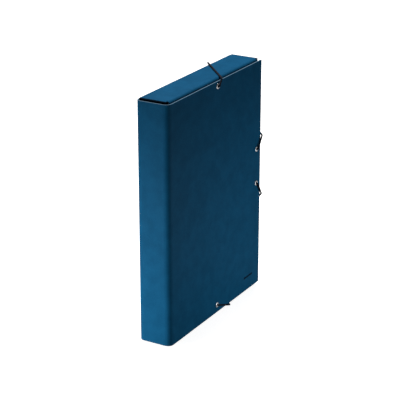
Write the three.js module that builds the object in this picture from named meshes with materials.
// A three-flap project box with elastic closure, cut and creased from one board: a front cover with
// four eyelets, a spine, and a back cover that carries three folded walls with a flap on each. Two
// elastic cords held in the front cover's eyelets go round the back cover's corners and keep it shut.
// Millimetres, +Z up. The box stands on its bottom edges, spine towards -X and fore-edge towards +X.

import * as THREE from "three";

// Driving dimensions of the covers
const width = 260;
const depth = 52;
const height = 350;
const boardThickness = 2;
const coverFoldRadius = 9;

// Driving dimensions of the walls and flaps, which are the same board
const wallFoldRadius = 3;
const flapFoldRadius = 4.5;
const sideFlapFoldRadius = 2.5;
const flapReach = 57;
const sideFlapReach = 72;
const trayRise = 1.5; // how far the top wall stands above the covers' edges

// Driving dimensions of the eyelets and the elastics
const endEyeletX = 131;
const topEyeletDrop = 7;
const bottomEyeletRise = 12;
const sideEyeletInset = 12.5;
const upperEyeletDrop = 133;
const lowerEyeletRise = 164;
const barrelRadius = 2.4;
const boreRadius = 1.9;
const lipRadius = 4;
const lipHeight = 1.1;
const washerRadius = 4.2;
const washerThickness = 0.5;
const rollThickness = 0.5;
const barbRadius = 0.6;
const barbLength = 13;
const cordRadius = 1.25;
const cordLie = 1.75;
const cordBend = 2;

// Clearance between pieces that touch on the real box
const gap = 0.3;

// Places that follow from the driving dimensions
const topEyelet = height - topEyeletDrop;
const upperEyelet = height - upperEyeletDrop;
const eyeletSide = width - sideEyeletInset;
const washerFront = boardThickness + gap;
const rollFront = washerFront + washerThickness + gap;
const rollBack = rollFront + rollThickness;
const cordEnd = rollBack + gap;
const barbMiddle = cordEnd + gap + barbRadius;
const flapFront = barbMiddle + barbRadius + gap;
const wallNear = flapFront + flapFoldRadius;
const sideWallNear = flapFront + sideFlapFoldRadius;
const wallFar = depth - wallFoldRadius;
const cordOverLip = lipHeight + gap + cordRadius;
const trayTop = height + trayRise;
const frontReach = cordOverLip + cordRadius;
const edgeReach = cordLie + cordRadius;

// Materials
const boardBlue = { color: 0x163f5c, roughness: 0.45, metalness: 0 };
const nickel = { color: 0xc9ccd2, roughness: 0.25, metalness: 1 };
const steel = { color: 0x9da2a8, roughness: 0.35, metalness: 1 };
const elasticNavy = { color: 0x0b111f, roughness: 0.85, metalness: 0 };

// Directions in which a flat outline is laid and thickened: outline x, outline y, thickness
const axisX = new THREE.Vector3(1, 0, 0);
const axisY = new THREE.Vector3(0, 1, 0);
const axisZ = new THREE.Vector3(0, 0, 1);
const facingFront = new THREE.Matrix4().makeBasis(axisX, axisZ, axisY.clone().negate());
const facingSide = new THREE.Matrix4().makeBasis(axisY, axisZ, axisX);
const facingUp = new THREE.Matrix4().makeBasis(axisX, axisY, axisZ);

const box = new THREE.Group();
// The origin is the middle of the overall footprint, which the elastics widen, at the lowest point.
box.position.set(-(width + edgeReach) / 2, -(depth + edgeReach - frontReach) / 2, edgeReach);

function addPiece(name, geometry, finish, x = 0, y = 0, z = 0) {
  const mesh = new THREE.Mesh(geometry, new THREE.MeshStandardMaterial(finish));
  mesh.name = name;
  mesh.position.set(x, y, z);
  box.add(mesh);
}

// An outline through the given corners, each rounded with the given radius
function roundedOutline(corners, radius) {
  const shape = new THREE.Shape();
  corners.forEach((corner, i) => {
    const point = new THREE.Vector2(...corner);
    const before = new THREE.Vector2(...corners.at(i - 1));
    const after = new THREE.Vector2(...corners[(i + 1) % corners.length]);
    const arrive = point.clone().add(before.sub(point).setLength(radius));
    const leave = point.clone().add(after.sub(point).setLength(radius));
    if (i === 0) {
      shape.moveTo(arrive.x, arrive.y);
    } else {
      shape.lineTo(arrive.x, arrive.y);
    }
    shape.quadraticCurveTo(point.x, point.y, leave.x, leave.y);
  });
  shape.closePath();
  return shape;
}

function thickened(shape, thickness, facing) {
  const geometry = new THREE.ExtrudeGeometry(shape, {
    depth: thickness,
    bevelEnabled: false,
    curveSegments: 6,
  });
  return geometry.applyMatrix4(facing);
}

// A quarter of a ring, the cross-section of every fold, turned to start at the given angle
function foldSection(radius, thickness, startAngle) {
  const shape = new THREE.Shape();
  shape.absarc(0, 0, radius, startAngle, startAngle + Math.PI / 2, false);
  shape.absarc(0, 0, radius - thickness, startAngle + Math.PI / 2, startAngle, true);
  shape.closePath();
  return shape;
}

const quarterTurn = Math.PI / 2;

// Cover boards: front cover with its four eyelet holes, spine, back cover
const eyelets = [
  { place: "top", x: endEyeletX, z: topEyelet, barbAlong: axisX },
  { place: "bottom", x: endEyeletX, z: bottomEyeletRise, barbAlong: axisX },
  { place: "upper_side", x: eyeletSide, z: upperEyelet, barbAlong: axisZ },
  { place: "lower_side", x: eyeletSide, z: lowerEyeletRise, barbAlong: axisZ },
];

function rectangle(lowX, lowY, highX, highY) {
  return [[lowX, lowY], [highX, lowY], [highX, highY], [lowX, highY]];
}

const boardStart = coverFoldRadius + gap;
const backMargin = wallFoldRadius + gap;
const cornerRound = 0.8;

const frontShape = roundedOutline(rectangle(boardStart, 0, width, height), cornerRound);
for (const { x, z } of eyelets) {
  const hole = new THREE.Path();
  hole.absarc(x, z, barrelRadius + gap, 0, 2 * Math.PI, true);
  frontShape.holes.push(hole);
}
addPiece("front_cover", thickened(frontShape, boardThickness, facingFront), boardBlue, 0, boardThickness, 0);

const spineShape = roundedOutline(rectangle(boardStart, 0, depth - boardStart, height), cornerRound);
addPiece("spine", thickened(spineShape, boardThickness, facingSide), boardBlue);

const backShape = roundedOutline(
  rectangle(boardStart, backMargin, width - backMargin, trayTop - backMargin),
  cornerRound,
);
addPiece("back_cover", thickened(backShape, boardThickness, facingFront), boardBlue, 0, depth, 0);

// The two rounded folds beside the spine
function addCoverFold(name, y, startAngle) {
  const section = foldSection(coverFoldRadius, boardThickness, startAngle);
  addPiece(name, thickened(section, height, facingUp), boardBlue, coverFoldRadius, y, 0);
}

addCoverFold("spine_fold_strip", coverFoldRadius, Math.PI);
addCoverFold("back_fold_strip", depth - coverFoldRadius, quarterTurn);

// Top and bottom: crease from the back cover, wall, crease and flap
const wallRound = 0.5;
const tipRound = 5;
const wallStart = coverFoldRadius + 0.4;
const endWallEnd = width - boardThickness - gap;
const flapStart = coverFoldRadius + 4;
const flapEnd = width - sideFlapFoldRadius - 1;
const flapRoot = flapFoldRadius + gap;

function addEnd(end) {
  const top = end === "top";
  const level = (distance) => (top ? trayTop - distance : distance);

  const wallCrease = foldSection(wallFoldRadius, boardThickness, top ? 0 : 3 * quarterTurn);
  const wallCreaseStrip = thickened(wallCrease, width - backMargin - wallStart, facingSide);
  const wallCreaseHeight = level(wallFoldRadius);
  addPiece(`${end}_wall_crease`, wallCreaseStrip, boardBlue, wallStart, wallFar, wallCreaseHeight);

  const wall = roundedOutline(rectangle(wallStart, wallNear + gap, endWallEnd, wallFar - gap), wallRound);
  const wallLow = top ? trayTop - boardThickness : 0;
  addPiece(`${end}_wall`, thickened(wall, boardThickness, facingUp), boardBlue, 0, 0, wallLow);

  const flapCrease = foldSection(flapFoldRadius, boardThickness, top ? quarterTurn : 2 * quarterTurn);
  const flapCreaseStrip = thickened(flapCrease, flapEnd - flapStart, facingSide);
  const flapCreaseHeight = level(flapFoldRadius);
  addPiece(`${end}_flap_crease`, flapCreaseStrip, boardBlue, flapStart, wallNear, flapCreaseHeight);

  const flapCorners = [
    [flapStart, level(flapRoot)],
    [flapStart + flapReach, level(flapRoot + flapReach)],
    [flapEnd - flapReach, level(flapRoot + flapReach)],
    [flapEnd, level(flapRoot)],
  ];
  const outline = top ? flapCorners : flapCorners.reverse();
  const flap = thickened(roundedOutline(outline, tipRound), boardThickness, facingFront);
  addPiece(`${end}_flap`, flap, boardBlue, 0, flapFront + boardThickness, 0);
}

addEnd("top");
addEnd("bottom");

// Fore-edge: the same four pieces, with the wall covering the ends of the top and bottom walls
function addSide() {
  const wallCrease = foldSection(wallFoldRadius, boardThickness, 0);
  const wallCreaseStrip = thickened(wallCrease, trayTop - 2 * backMargin, facingUp);
  addPiece("side_wall_crease", wallCreaseStrip, boardBlue, width - wallFoldRadius, wallFar, backMargin);

  const wall = roundedOutline(rectangle(sideWallNear + gap, 0, wallFar - gap, trayTop), wallRound);
  addPiece("side_wall", thickened(wall, boardThickness, facingSide), boardBlue, width - boardThickness, 0, 0);

  const flapCrease = foldSection(sideFlapFoldRadius, boardThickness, 3 * quarterTurn);
  const flapCreaseStrip = thickened(flapCrease, trayTop, facingUp);
  addPiece("side_flap_crease", flapCreaseStrip, boardBlue, width - sideFlapFoldRadius, sideWallNear, 0);

  const edge = width - sideFlapFoldRadius - gap;
  const cornerRise = flapRoot - 0.1;
  const flapCorners = [
    [edge, cornerRise],
    [edge, trayTop - cornerRise],
    [edge - sideFlapReach, trayTop - cornerRise - sideFlapReach],
    [edge - sideFlapReach, cornerRise + sideFlapReach],
  ];
  const flap = thickened(roundedOutline(flapCorners, tipRound), boardThickness, facingFront);
  addPiece("side_flap", flap, boardBlue, 0, flapFront + boardThickness, 0);
}

addSide();

// A solid of revolution about Y from a closed profile of [radius, y] points
function turned(profile) {
  const points = [...profile, profile[0]].map(([radius, y]) => new THREE.Vector2(radius, y));
  return new THREE.LatheGeometry(points, 24);
}

// Eyelets, the clinch washers behind them and the metal barbs on the ends of the elastics
const eyeletProfile = [
  [boreRadius, -0.4],
  [2.1, -0.9],
  [2.6, -lipHeight],
  [3.3, -lipHeight],
  [3.8, -0.9],
  [lipRadius, -0.6],
  [lipRadius, -gap],
  [barrelRadius, -gap],
  [barrelRadius, rollFront],
  [3.3, rollFront],
  [3.4, rollBack - 0.2],
  [3.2, rollBack],
  [2.3, rollBack],
  [boreRadius, rollBack - 0.3],
];
const washerProfile = [
  [barrelRadius + gap, washerFront],
  [washerRadius, washerFront],
  [washerRadius, washerFront + washerThickness - 0.2],
  [washerRadius - 0.2, washerFront + washerThickness],
  [barrelRadius + gap, washerFront + washerThickness],
];

for (const { place, x, z, barbAlong } of eyelets) {
  addPiece(`eyelet_${place}`, turned(eyeletProfile), nickel, x, 0, z);
  addPiece(`washer_${place}`, turned(washerProfile), nickel, x, 0, z);
  const barb = new THREE.CapsuleGeometry(barbRadius, barbLength - 2 * barbRadius, 4, 12);
  if (barbAlong === axisX) {
    barb.rotateZ(quarterTurn);
  } else {
    barb.rotateX(quarterTurn);
  }
  addPiece(`barb_${place}`, barb, steel, x, barbMiddle, z);
}

// A cord route: straight stretches between the given points, every corner rounded
class CordRoute extends THREE.Curve {
  constructor(corners, bendRadius) {
    super();
    this.stops = [corners[0]];
    for (let i = 1; i < corners.length - 1; i += 1) {
      this.stops.push(...CordRoute.bend(corners[i - 1], corners[i], corners[i + 1], bendRadius));
    }
    this.stops.push(corners.at(-1));
  }

  static bend(before, corner, after, radius) {
    const arrive = corner.clone().sub(before).normalize();
    const leave = after.clone().sub(corner).normalize();
    const turn = arrive.angleTo(leave);
    const cut = radius * Math.tan(turn / 2);
    const start = corner.clone().addScaledVector(arrive, -cut);
    const inward = leave.clone().addScaledVector(arrive, -leave.dot(arrive)).normalize();
    const pieces = Math.max(2, Math.ceil(turn / 0.35));
    const stops = [];
    for (let step = 0; step <= pieces; step += 1) {
      const angle = (turn * step) / pieces;
      const stop = start.clone().addScaledVector(arrive, radius * Math.sin(angle));
      stops.push(stop.addScaledVector(inward, radius * (1 - Math.cos(angle))));
    }
    return stops;
  }

  getPoint(share) {
    const place = share * (this.stops.length - 1);
    const before = Math.min(Math.floor(place), this.stops.length - 2);
    return this.stops[before].clone().lerp(this.stops[before + 1], place - before);
  }

  getPointAt(share) {
    return this.getPoint(share);
  }

  getTangentAt(share) {
    const last = this.stops.length - 1;
    const here = Math.round(share * last);
    const tangent = new THREE.Vector3();
    if (here > 0) {
      tangent.add(this.stops[here].clone().sub(this.stops[here - 1]).normalize());
    }
    if (here < last) {
      tangent.add(this.stops[here + 1].clone().sub(this.stops[here]).normalize());
    }
    return tangent.normalize();
  }
}

function cordSection() {
  const sides = 8;
  const shape = new THREE.Shape();
  for (let side = 0; side < sides; side += 1) {
    const angle = (2 * Math.PI * side) / sides;
    const x = cordRadius * Math.cos(angle);
    const y = cordRadius * Math.sin(angle);
    if (side === 0) {
      shape.moveTo(x, y);
    } else {
      shape.lineTo(x, y);
    }
  }
  shape.closePath();
  return shape;
}

// An elastic round one corner of the box: out of an end eyelet, over the front cover's end edge,
// across the wall, behind the back cover's corner, back over the fore-edge and into a side eyelet. The
// crossings are distances along the edges from the spine and from the end that the elastic goes over.
function addElastic(name, end, endEyelet, sideEyelet, crossings) {
  const rise = (distance) => (end === "top" ? height - distance : distance);
  const beyondEnd = end === "top" ? trayTop + cordLie : -cordLie;
  const beyondSide = width + cordLie;
  const point = (x, y, z) => new THREE.Vector3(x, y, z);
  const corners = [
    point(endEyeletX, cordEnd, endEyelet),
    point(endEyeletX, -cordOverLip, endEyelet),
    point(crossings.frontEnd, -cordLie, beyondEnd),
    point(crossings.backEnd, depth + cordLie, beyondEnd),
    point(beyondSide, depth + cordLie, rise(crossings.backSide)),
    point(beyondSide, -cordLie, rise(crossings.frontSide)),
    point(eyeletSide, -cordOverLip, sideEyelet),
    point(eyeletSide, cordEnd, sideEyelet),
  ];
  const route = new CordRoute(corners, cordBend);
  const cord = new THREE.ExtrudeGeometry(cordSection(), {
    steps: route.stops.length - 1,
    bevelEnabled: false,
    extrudePath: route,
  });
  addPiece(name, cord, elasticNavy);
}

addElastic("upper_elastic", "top", topEyelet, upperEyelet, {
  frontEnd: 139,
  backEnd: 197,
  backSide: 62,
  frontSide: 115,
});
addElastic("lower_elastic", "bottom", bottomEyeletRise, lowerEyeletRise, {
  frontEnd: 167,
  backEnd: 206,
  backSide: 73,
  frontSide: 143,
});

const group = new THREE.Group();
group.add(box);
export default group;
